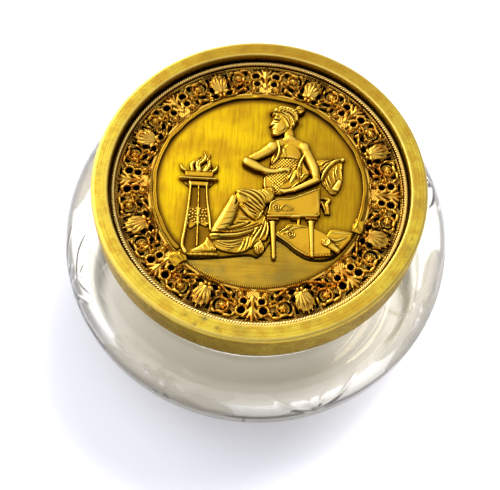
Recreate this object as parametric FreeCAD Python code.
import FreeCAD, Part
import math
import os
from FreeCAD import Matrix, Placement, Rotation, Vector

# Round cut-glass casket box with a gilt-brass lid that lifts off.
# Millimetres, +Z up, origin at the middle of the flat base, foot of the lid's picture towards -Y.

# Lid ring
lid_radius = 56.0
rim_width = 5.6
rim_height = 13.8
rim_edge_round = 1.4
rim_inner_round = 0.7
rim_foot_round = 0.4
ledge_depth = 5.6
ledge_width = 2.8
ledge_thickness = 2.0

# Glass bowl
glass_height = 52.2
bowl_radius = 69.3
equator_height = 23.5
base_radius = 46.0
neck_height = 6.7
lip_width = 7.0
lip_round = 0.8
bowl_wall = 6.0
floor_thickness = 9.0
cavity_floor_radius = 36.0

# Backing pan, collar and their screws
pan_sheet = 0.8
pan_gap = 0.3
table_margin = 1.0
collar_flange_thickness = 1.0
collar_inset = 1.1
collar_wall = 1.1
collar_depth = 6.0
collar_clearance = 0.5
collar_lead = 0.3
screw_count = 6
screw_radius = 0.8
screw_head_radius = 1.3
screw_head_height = 1.2
screw_slot_width = 0.4
screw_slot_depth = 0.5
screw_end_gap = 0.3
skirt_gap = 0.5
hole_clearance = 0.05

# Openwork border and its wire
sector_count = 8
border_sheet = 1.2
border_gap = 0.3
border_tuck = 1.1
outer_margin = 2.2
inner_margin = 0.7
palmette_rise = 1.4
rosette_rise = 0.9
wire_radius = 0.75

# Medallion and its studs
medallion_radius = 36.6
disc_flange = 0.6
spigot_clearance = 0.05
milling_count = 180
milling_depth = 0.3
stud_count = 3
stud_circle = 20.0
stud_radius = 1.25
nut_flats_radius = 2.4
nut_height = 1.6
stud_end = 0.6

# Plaque and relief
plaque_sheet = 0.5
plaque_inset = 0.6
frame_width = 1.7
frame_rise = 0.6
relief_flatten_share = 0.42
slim_joint_share = 0.95
fine_round = 0.25

# How far every cutting tool runs past what it cuts
overrun = 1.0

# Heights, from the lip of the glass upwards
lip_z = glass_height
rim_top_z = lip_z + rim_height
shoulder_z = lip_z - neck_height
ledge_z = rim_top_z - ledge_depth
ledge_under_z = ledge_z - ledge_thickness
pan_under_z = ledge_under_z - pan_sheet
flange_under_z = pan_under_z - collar_flange_thickness
border_top_z = ledge_z + border_sheet
disc_top_z = border_top_z + disc_flange
plaque_top_z = disc_top_z + plaque_sheet
frame_top_z = plaque_top_z + frame_rise

# Radii, from the lid's ring inwards
rim_inner = lid_radius - rim_width
ledge_inner = rim_inner - ledge_width
screw_circle = rim_inner - ledge_width / 2
skirt_bore = screw_circle + screw_head_radius + skirt_gap
pan_radius = skirt_bore - pan_gap
table_radius = medallion_radius + table_margin
collar_outer = ledge_inner - collar_inset
collar_inner = collar_outer - collar_wall
mouth_radius = collar_outer + collar_clearance
neck_radius = mouth_radius + lip_width
border_outer = rim_inner - border_gap
border_inner = medallion_radius - border_tuck
open_outer = border_outer - outer_margin
open_inner = medallion_radius + inner_margin
open_width = open_outer - open_inner
spigot_radius = border_inner - spigot_clearance
plaque_radius = medallion_radius - plaque_inset
wire_circle = border_outer - outer_margin / 2

# Curve handles of the glass, as shares of the span that each curve covers
quarter_round_share = 0.55
base_lift_share = 0.12

# Openwork of half a sector, from the middle motif to the palmette.
# Each point is a share of the half sector's angle and a share of the openwork's width.
eye_shares = [(0.205, 0.655, 0.112), (0.182, 0.36, 0.098)]
gap_shares = {
    "slot by the plume": [(0.07, 0.905), (0.17, 0.955), (0.29, 0.945), (0.19, 0.875)],
    "slot over the scroll": [(0.50, 0.92), (0.62, 0.965), (0.76, 0.955), (0.63, 0.895)],
    "crescent in the scroll": [
        (0.63, 0.83), (0.715, 0.75), (0.745, 0.62), (0.71, 0.49),
        (0.64, 0.42), (0.675, 0.52), (0.69, 0.62), (0.675, 0.73),
    ],
    "gap above the palmette's side": [(0.78, 0.86), (0.845, 0.87), (0.825, 0.75), (0.79, 0.72)],
    "gap below the palmette's side": [(0.80, 0.52), (0.84, 0.46), (0.85, 0.34), (0.765, 0.36)],
    "gap beside the scroll": [(0.37, 0.85), (0.44, 0.86), (0.43, 0.74), (0.385, 0.70)],
    "gap under the scroll": [(0.50, 0.36), (0.60, 0.33), (0.66, 0.25), (0.55, 0.22)],
    "gap by the lower rosette": [(0.37, 0.30), (0.42, 0.25), (0.40, 0.12), (0.365, 0.17)],
    "gap under the palmette": [(0.75, 0.20), (0.85, 0.225), (0.90, 0.12), (0.82, 0.055)],
    "slot on the inner edge": [(0.44, 0.09), (0.53, 0.11), (0.64, 0.05), (0.52, 0.025)],
}
palmette_middle_share = 0.64
palmette_half_height_share = 0.36
palmette_half_width_share = 0.27
rosette_shares = [(0.565, 0.62, 0.13), (0.26, 0.15, 0.125)]

# The medallion's picture, as shares of the medallion's radius from its middle
ground_share = -0.70
frame_end_degrees = -25.0
tab_length_share = 0.075
tab_width_share = 0.05


def about_axis(shape, degrees):
    """A copy of shape turned about the Z axis."""
    turned = shape.copy()
    turned.rotate(Vector(0, 0, 0), Vector(0, 0, 1), degrees)
    return turned


def ring_of(shape, count):
    """Copies of shape spread evenly round the Z axis."""
    return [about_axis(shape, 360.0 * k / count) for k in range(count)]


def revolve(edges):
    """A solid of revolution about Z from a closed profile in the XZ plane."""
    face = Part.Face(Part.Wire(edges))
    solid = face.revolve(Vector(0, 0, 0), Vector(0, 0, 1), 360.0)
    return Part.Solid(Part.Shell(solid.Faces)) if solid.ShapeType != "Solid" else solid


def profile(corners):
    """Edges of a closed profile: corners are (radius, height) or (radius, height, rounding)."""
    starts = []
    ends = []
    arcs = []
    count = len(corners)
    for k in range(count):
        here = Vector(corners[k][0], 0, corners[k][1])
        rounding = corners[k][2] if len(corners[k]) > 2 else 0
        if rounding == 0:
            starts.append(here)
            ends.append(here)
            arcs.append(None)
            continue
        before = Vector(corners[k - 1][0], 0, corners[k - 1][1])
        after = Vector(corners[(k + 1) % count][0], 0, corners[(k + 1) % count][1])
        to_before = (before - here).normalize()
        to_after = (after - here).normalize()
        half = to_before.getAngle(to_after) / 2
        reach = rounding / math.tan(half)
        middle = (to_before + to_after).normalize()
        tip = here + middle * (rounding / math.sin(half) - rounding)
        starts.append(here + to_before * reach)
        ends.append(here + to_after * reach)
        arcs.append(tip)
    edges = []
    for k in range(count):
        if arcs[k] is not None:
            edges.append(Part.Arc(starts[k], arcs[k], ends[k]).toShape())
        edges.append(Part.LineSegment(ends[k], starts[(k + 1) % count]).toShape())
    return edges


def curve(poles):
    """A Bezier edge through the XZ plane from (radius, height) poles."""
    bezier = Part.BezierCurve()
    bezier.setPoles([Vector(r, 0, z) for r, z in poles])
    return bezier.toShape()


def line(start, end):
    """A straight edge in the XZ plane between two (radius, height) points."""
    return Part.LineSegment(Vector(start[0], 0, start[1]), Vector(end[0], 0, end[1])).toShape()


def lip_arc(radius, outward):
    """The rounded edge of the lip at a radius; outward is 1 on the outside and -1 on the mouth."""
    diagonal = math.sqrt(0.5)
    centre = radius - outward * lip_round
    low = Vector(radius, 0, lip_z - lip_round)
    tip = Vector(centre + outward * lip_round * diagonal, 0, lip_z - lip_round + lip_round * diagonal)
    high = Vector(centre, 0, lip_z)
    return Part.Arc(low, tip, high).toShape()


def glass_bowl():
    """Blown and ground bowl: flat base, round belly, shoulder, short neck, ground lip."""
    belly = bowl_radius - base_radius
    rise = shoulder_z - equator_height
    shoulder = bowl_radius - neck_radius
    inner_radius = bowl_radius - bowl_wall
    inner_belly = inner_radius - cavity_floor_radius
    inner_shoulder = inner_radius - mouth_radius
    inner_shoulder_z = shoulder_z - bowl_wall / 2
    inner_rise = inner_shoulder_z - equator_height
    inner_drop = equator_height - floor_thickness
    keep = 1 - quarter_round_share
    edges = [
        line((0, 0), (base_radius, 0)),
        curve([
            (base_radius, 0),
            (base_radius + quarter_round_share * belly, base_lift_share * equator_height),
            (bowl_radius, keep * equator_height),
            (bowl_radius, equator_height),
        ]),
        curve([
            (bowl_radius, equator_height),
            (bowl_radius, equator_height + quarter_round_share * rise),
            (neck_radius + quarter_round_share * shoulder, shoulder_z),
            (neck_radius, shoulder_z),
        ]),
        line((neck_radius, shoulder_z), (neck_radius, lip_z - lip_round)),
        lip_arc(neck_radius, 1),
        line((neck_radius - lip_round, lip_z), (mouth_radius + lip_round, lip_z)),
        lip_arc(mouth_radius, -1),
        line((mouth_radius, lip_z - lip_round), (mouth_radius, inner_shoulder_z)),
        curve([
            (mouth_radius, inner_shoulder_z),
            (mouth_radius + quarter_round_share * inner_shoulder, inner_shoulder_z),
            (inner_radius, equator_height + quarter_round_share * inner_rise),
            (inner_radius, equator_height),
        ]),
        curve([
            (inner_radius, equator_height),
            (inner_radius, equator_height - quarter_round_share * inner_drop),
            (cavity_floor_radius + quarter_round_share * inner_belly, floor_thickness),
            (cavity_floor_radius, floor_thickness),
        ]),
        line((cavity_floor_radius, floor_thickness), (0, floor_thickness)),
        line((0, floor_thickness), (0, 0)),
    ]
    return revolve(edges)


def upright(radius, low, high, distance=0):
    """A vertical cylinder at a distance from the axis along +X."""
    return Part.makeCylinder(radius, high - low, Vector(distance, 0, low))


def screw_holes(low, high):
    """Cutters for the screws between two heights."""
    hole = upright(screw_radius + hole_clearance, low - overrun, high + overrun, screw_circle)
    return ring_of(hole, screw_count)


def stud_holes(low, high):
    """Cutters for the medallion's studs between two heights."""
    hole = upright(stud_radius + hole_clearance, low - overrun, high + overrun, stud_circle)
    return ring_of(hole, stud_count)


def lid_rim():
    """Turned ring: flat top, soft edges, a ledge for the border and a skirt on the lip."""
    edges = profile([
        (skirt_bore, lip_z),
        (lid_radius, lip_z, rim_foot_round),
        (lid_radius, rim_top_z, rim_edge_round),
        (rim_inner, rim_top_z, rim_inner_round),
        (rim_inner, ledge_z),
        (ledge_inner, ledge_z),
        (ledge_inner, ledge_under_z),
        (skirt_bore, ledge_under_z),
    ])
    return revolve(edges).cut(screw_holes(ledge_under_z, ledge_z))


def backing_pan():
    """Pressed sheet: a raised table carries the medallion, a lower trough lies behind the openwork."""
    wall_inner = table_radius - pan_sheet
    edges = profile([
        (0, ledge_z),
        (table_radius, ledge_z, fine_round),
        (table_radius, ledge_under_z, fine_round),
        (pan_radius, ledge_under_z),
        (pan_radius, pan_under_z),
        (wall_inner, pan_under_z, fine_round),
        (wall_inner, ledge_z - pan_sheet, fine_round),
        (0, ledge_z - pan_sheet),
    ])
    cutters = screw_holes(pan_under_z, ledge_under_z) + stud_holes(ledge_z - pan_sheet, ledge_z)
    return revolve(edges).cut(cutters)


def locating_collar():
    """L-section ring: the flange lies under the pan and the tube drops into the mouth."""
    edges = profile([
        (collar_inner, lip_z - collar_depth),
        (collar_outer, lip_z - collar_depth, collar_lead),
        (collar_outer, flange_under_z),
        (pan_radius, flange_under_z),
        (pan_radius, pan_under_z),
        (collar_inner, pan_under_z),
    ])
    return revolve(edges).cut(screw_holes(flange_under_z, pan_under_z))


def collar_screws():
    """Slotted screws, put in from below through collar and pan into the ledge."""
    head_under_z = flange_under_z - screw_head_height
    head = upright(screw_head_radius, head_under_z, flange_under_z, screw_circle)
    shank_low = flange_under_z - (screw_head_height - screw_slot_depth) / 2
    shank = upright(screw_radius, shank_low, ledge_z - screw_end_gap, screw_circle)
    slot_length = screw_head_radius + overrun
    slot = Part.makeBox(
        2 * slot_length,
        screw_slot_width,
        screw_slot_depth + overrun,
        Vector(screw_circle - slot_length, -screw_slot_width / 2, head_under_z - overrun),
    )
    screw = head.fuse(shank).cut(slot)
    return ring_of(screw, screw_count)


def border_point(side, sector, angle_share, width_share, height):
    """A point of the openwork: side is 1 or -1, shares run from the middle motif to the palmette."""
    half_sector = math.pi / sector_count
    angle = -math.pi / 2 + 2 * half_sector * sector + side * half_sector * angle_share
    radius = open_inner + open_width * width_share
    return Vector(radius * math.cos(angle), radius * math.sin(angle), height)


def closed_curve(points):
    """A smooth closed wire through the points."""
    spline = Part.BSplineCurve()
    spline.interpolate(points, True)
    return Part.Wire([spline.toShape()])


def circle_wire(radius, centre):
    """A flat circle as a wire."""
    return Part.Wire([Part.makeCircle(radius, centre)])


def dome(radius, rise, centre):
    """A low round boss: the cap of a sphere with a given foot radius and rise."""
    ball_radius = (radius * radius + rise * rise) / (2 * rise)
    ball = Part.makeSphere(ball_radius, centre + Vector(0, 0, rise - ball_radius))
    keep = Part.makeCylinder(radius + overrun, rise + overrun, centre)
    return ball.common(keep)


def stretched_ball(along, across, rise, centre, degrees):
    """Upper half of a ball stretched to three half sizes, turned about its own upright axis."""
    ball = Part.makeSphere(1, Vector(0, 0, 0), Vector(0, 0, 1), 0, 90, 360)
    stretch = Matrix()
    stretch.A11 = along
    stretch.A22 = across
    stretch.A33 = rise
    shape = ball.transformGeometry(stretch)
    shape.Placement = Placement(centre, Rotation(Vector(0, 0, 1), degrees))
    return shape


def pierced_border():
    """Cast openwork ring: gaps cut through the sheet, palmettes and rosettes standing on it."""
    middle = Vector(0, 0, ledge_z)
    wires = [circle_wire(border_outer, middle), circle_wire(border_inner, middle)]
    bosses = []
    for sector in range(sector_count):
        for side in (1, -1):
            for angle_share, width_share, radius_share in eye_shares:
                centre = border_point(side, sector, angle_share, width_share, ledge_z)
                wires.append(circle_wire(open_width * radius_share, centre))
            for points in gap_shares.values():
                wires.append(closed_curve([border_point(side, sector, a, w, ledge_z) for a, w in points]))
            for angle_share, width_share, radius_share in rosette_shares:
                centre = border_point(side, sector, angle_share, width_share, border_top_z)
                bosses.append(dome(open_width * radius_share, rosette_rise, centre))
        heart = border_point(1, sector, 1, palmette_middle_share, border_top_z)
        degrees = math.degrees(math.atan2(heart.y, heart.x))
        half_height = open_width * palmette_half_height_share
        half_width = open_width * palmette_half_width_share
        bosses.append(stretched_ball(half_height, half_width, palmette_rise, heart, degrees))
    plate = Part.Face(wires, "Part::FaceMakerBullseye").extrude(Vector(0, 0, border_sheet))
    return plate.fuse(bosses)


def rope_wire():
    """Twisted wire laid on the outer margin of the openwork, as a plain ring."""
    return Part.makeTorus(wire_circle, wire_radius, Vector(0, 0, border_top_z + wire_radius))


def medallion_disc():
    """Disc with a milled edge and a spigot that sits in the border's inner hole."""
    points = []
    for k in range(milling_count):
        for half_step in range(2):
            radius = medallion_radius - milling_depth * half_step
            angle = math.pi * (2 * k + half_step) / milling_count
            points.append(Vector(radius * math.cos(angle), radius * math.sin(angle), border_top_z))
    flange = Part.Face(Part.makePolygon(points + points[:1])).extrude(Vector(0, 0, disc_flange))
    spigot = upright(spigot_radius, ledge_z, border_top_z)
    return flange.fuse(spigot).removeSplitter()


def medallion_studs():
    """Threaded studs soldered under the disc."""
    end_z = ledge_z - pan_sheet - nut_height - stud_end
    return ring_of(upright(stud_radius, end_z, ledge_z, stud_circle), stud_count)


def medallion_nuts():
    """Hexagonal nuts on the studs under the pan."""
    top_z = ledge_z - pan_sheet
    corner = nut_flats_radius / math.cos(math.pi / 6)
    points = []
    for k in range(6):
        angle = math.pi / 3 * k
        across = stud_circle + corner * math.cos(angle)
        points.append(Vector(across, corner * math.sin(angle), top_z - nut_height))
    body = Part.Face(Part.makePolygon(points + points[:1])).extrude(Vector(0, 0, nut_height))
    bore = upright(stud_radius + hole_clearance, top_z - nut_height - overrun, top_z + overrun, stud_circle)
    return ring_of(body.cut(bore), stud_count)


def place(shares, height=0):
    """A point of the picture from shares of the medallion's radius."""
    return Vector(medallion_radius * shares[0], medallion_radius * shares[1], height)


def slab(shares, low, high):
    """A flat piece with a straight-sided outline given in shares."""
    points = [place(share, low) for share in shares]
    return Part.Face(Part.makePolygon(points + points[:1])).extrude(Vector(0, 0, high - low))


def limb(start_shares, end_shares, lift_share, joint_share):
    """A tapering bar with ball ends about a level axis; each end is (x, y, radius) in shares.

    The profile below the axis, two arcs and their common tangent, is turned through a full circle.
    """
    lift = medallion_radius * lift_share
    start = place(start_shares, lift)
    end = place(end_shares, lift)
    start_radius = medallion_radius * start_shares[2] * joint_share
    end_radius = medallion_radius * end_shares[2]
    length = (end - start).Length
    along = (end - start).normalize()
    lean = math.asin((start_radius - end_radius) / length)
    tangent = along * math.sin(lean) - Vector(0, 0, math.cos(lean))
    back = (tangent - along).normalize()
    ahead = (tangent + along).normalize()
    tail = start - along * start_radius
    nose = end + along * end_radius
    leave = start + tangent * start_radius
    arrive = end + tangent * end_radius
    edges = [
        Part.Arc(tail, start + back * start_radius, leave).toShape(),
        Part.LineSegment(leave, arrive).toShape(),
        Part.Arc(arrive, end + ahead * end_radius, nose).toShape(),
        Part.LineSegment(nose, tail).toShape(),
    ]
    return Part.Face(Part.Wire(edges)).revolve(start, along, 360.0)


def limbs(chains_shares):
    """Bars along chains; a chain is its lift share, then a row of (x, y, radius) shares.

    Each later bar of a chain is a little slimmer at its start than the ball that it leaves.
    """
    pieces = []
    for lift_share, *row_shares in chains_shares:
        joint_share = 1
        for start_shares, end_shares in zip(row_shares, row_shares[1:]):
            pieces.append(limb(start_shares, end_shares, lift_share, joint_share))
            joint_share = slim_joint_share
    return pieces


def as_relief(pieces):
    """Fuse round pieces, keep what stands above height 0, flatten it and set it on the plaque."""
    reach = medallion_radius + overrun
    upper = Part.makeBox(2 * reach, 2 * reach, reach, Vector(-reach, -reach, 0))
    flat = Matrix()
    flat.A33 = relief_flatten_share
    flat.A34 = plaque_top_z
    body = pieces[0]
    for piece in pieces[1:]:
        body = body.fuse(piece)
    return body.common(upper).transformGeometry(flat)


def relief_plaque():
    """Sheet cut along the ground line, with a raised border round the upper part and two tabs."""
    disc = upright(plaque_radius, disc_top_z, plaque_top_z)
    low = place((-1, -1), disc_top_z - overrun)
    exergue = Part.makeBox(
        2 * medallion_radius,
        medallion_radius * (1 + ground_share),
        plaque_sheet + frame_rise + 2 * overrun,
        low,
    )
    sheet = disc.cut(exergue)
    span = 180.0 - 2 * frame_end_degrees
    outer = Part.makeCylinder(
        plaque_radius, frame_rise, Vector(0, 0, plaque_top_z), Vector(0, 0, 1), span)
    inner = upright(plaque_radius - frame_width, plaque_top_z - overrun, frame_top_z + overrun)
    border = about_axis(outer, frame_end_degrees).cut(inner)
    tab_length = medallion_radius * tab_length_share
    tab_width = medallion_radius * tab_width_share
    tab = Part.makeBox(
        tab_width,
        tab_length,
        frame_rise,
        Vector(plaque_radius - frame_width - tab_width / 2, -tab_length, plaque_top_z),
    )
    mirrored = tab.mirror(Vector(0, 0, 0), Vector(1, 0, 0))
    tabs = [about_axis(tab, frame_end_degrees), about_axis(mirrored, -frame_end_degrees)]
    whole = sheet.fuse([border] + tabs)
    rounded = upright(plaque_radius, disc_top_z - overrun, frame_top_z + overrun)
    return whole.common(rounded).removeSplitter()


def tripod_relief():
    """Burning tripod: flames, tray with horns, three legs, rosette panel and plinth."""
    flame_shares = [
        [0.004, (-0.56, 0.12, 0.035), (-0.52, 0.24, 0.028), (-0.515, 0.31, 0.01)],
        [0.002, (-0.60, 0.11, 0.025), (-0.615, 0.21, 0.01)],
        [0.003, (-0.50, 0.11, 0.025), (-0.47, 0.23, 0.01)],
    ]
    tray_shares = [
        [0.012, (-0.69, 0.075, 0.04), (-0.42, 0.075, 0.042)],
        [0.02, (-0.72, 0.02, 0.026), (-0.395, 0.021, 0.028)],
        [0.008, (-0.69, -0.03, 0.03), (-0.425, -0.031, 0.032)],
        [0.005, (-0.71, 0.085, 0.022), (-0.735, 0.16, 0.012)],
        [0.006, (-0.40, 0.085, 0.022), (-0.41, 0.16, 0.012)],
    ]
    stand_shares = [
        [0.01, (-0.63, -0.04, 0.022), (-0.655, -0.66, 0.026)],
        [0.007, (-0.55, -0.04, 0.017), (-0.53, -0.64, 0.019)],
        [0.009, (-0.475, -0.04, 0.022), (-0.43, -0.44, 0.024)],
        [0.011, (-0.61, -0.29, 0.02), (-0.44, -0.291, 0.021)],
        [0.013, (-0.61, -0.42, 0.02), (-0.43, -0.421, 0.021)],
        [0.014, (-0.56, -0.35, 0.065), (-0.50, -0.36, 0.066)],
        [0.003, (-0.66, -0.668, 0.03), (-0.60, -0.662, 0.031)],
    ]
    return as_relief(limbs(flame_shares + tray_shares + stand_shares))


def figure_relief():
    """Draped seated figure: head with hair, body, two bent arms, folded skirt and slipper."""
    body_shares = [
        [-0.01, (0.225, 0.36, 0.15), (0.17, 0.08, 0.125), (0.18, -0.07, 0.14)],
        [0.012, (0.255, 0.45, 0.07), (0.235, 0.56, 0.058), (0.19, 0.69, 0.105)],
        [0.006, (0.225, 0.75, 0.075), (0.30, 0.775, 0.06)],
    ]
    arm_shares = [
        [0.02, (0.11, 0.42, 0.075), (-0.13, 0.215, 0.062)],
        [0.035, (-0.12, 0.21, 0.064), (0.20, 0.165, 0.042), (0.25, 0.175, 0.034)],
        [0.025, (0.385, 0.40, 0.08), (0.515, 0.085, 0.066)],
        [0.045, (0.51, 0.08, 0.068), (0.22, -0.045, 0.05)],
    ]
    skirt_shares = [
        [0.008, (0.15, -0.09, 0.125), (-0.19, -0.15, 0.095), (-0.35, -0.52, 0.075)],
        [0.002, (0.12, -0.14, 0.11), (-0.15, -0.42, 0.08), (-0.26, -0.60, 0.06)],
        [-0.004, (0.07, -0.22, 0.075), (-0.05, -0.50, 0.075), (-0.10, -0.61, 0.06)],
        [-0.008, (0.05, -0.30, 0.05), (0.02, -0.52, 0.055), (0.01, -0.625, 0.045)],
    ]
    foot_shares = [
        [0.01, (-0.29, -0.62, 0.05), (-0.43, -0.645, 0.038), (-0.49, -0.668, 0.02)],
    ]
    return as_relief(limbs(body_shares + arm_shares + skirt_shares + foot_shares))


def chair_relief():
    """Chair: side panel with rail, two turned legs, curved back with a second rib, and a tassel."""
    seat_shares = [
        [0.004, (0.355, -0.115, 0.035), (0.535, -0.035, 0.037)],
        [0.012, (0.17, -0.285, 0.03), (0.525, -0.265, 0.032)],
        [-0.006, (0.345, -0.195, 0.058), (0.50, -0.18, 0.062)],
        [0.002, (0.555, -0.02, 0.026), (0.53, -0.26, 0.031)],
    ]
    leg_shares = [
        [0.006, (0.155, -0.33, 0.038), (0.165, -0.40, 0.03), (0.175, -0.67, 0.024)],
        [0.007, (0.475, -0.30, 0.045), (0.48, -0.40, 0.03), (0.495, -0.64, 0.024)],
    ]
    back_shares = [
        [0.003, (0.585, -0.04, 0.03), (0.625, 0.12, 0.029), (0.67, 0.24, 0.028), (0.765, 0.31, 0.022)],
        [0.001, (0.76, 0.30, 0.02), (0.745, 0.12, 0.024), (0.68, -0.04, 0.023)],
        [0.005, (0.555, -0.08, 0.024), (0.60, -0.14, 0.031), (0.62, -0.22, 0.03)],
    ]
    return as_relief(limbs(seat_shares + leg_shares + back_shares))


def cloth_relief():
    """Cloth below the chair: a thin sheet with a hanging lower edge and a ring worked on it."""
    outline_shares = [
        (0.21, -0.455), (0.30, -0.375), (0.435, -0.385), (0.435, -0.665), (0.33, -0.61), (0.22, -0.54),
    ]
    ring_share = (0.30, -0.47, 0.04)
    thread_share = 0.012
    cloth_rise_share = 0.025
    sheet = slab(outline_shares, plaque_top_z, plaque_top_z + medallion_radius * cloth_rise_share)
    middle = place(ring_share, plaque_top_z + medallion_radius * cloth_rise_share)
    ring = Part.makeTorus(medallion_radius * ring_share[2], medallion_radius * thread_share, middle)
    return sheet.fuse(ring)


def scroll_relief():
    """Half-open paper scroll: a roll and the sheet that leaves it."""
    roll_shares = [[0.006, (0.60, -0.54, 0.046), (0.71, -0.59, 0.036)]]
    sheet_shares = [
        [0.002, (0.60, -0.51, 0.03), (0.71, -0.405, 0.028), (0.765, -0.42, 0.024)],
        [-0.004, (0.66, -0.51, 0.06), (0.74, -0.48, 0.045)],
        [-0.002, (0.70, -0.56, 0.045), (0.755, -0.475, 0.035)],
    ]
    return as_relief(limbs(roll_shares + sheet_shares))


def save(node, shape):
    """Write one node; a list of solids becomes one group."""
    whole = Part.makeCompound(shape) if isinstance(shape, list) else shape
    whole.exportStep("parts/" + node + ".step")
    print(node, "solids", len(whole.Solids), "volume", round(whole.Volume, 1), "valid", whole.isValid())


os.makedirs("parts", exist_ok=True)
makers = [
    glass_bowl, lid_rim, backing_pan, locating_collar, collar_screws, pierced_border, rope_wire,
    medallion_disc, medallion_studs, medallion_nuts, relief_plaque, tripod_relief, figure_relief,
    chair_relief, cloth_relief, scroll_relief,
]
for maker in makers:
    save(maker.__name__, maker())
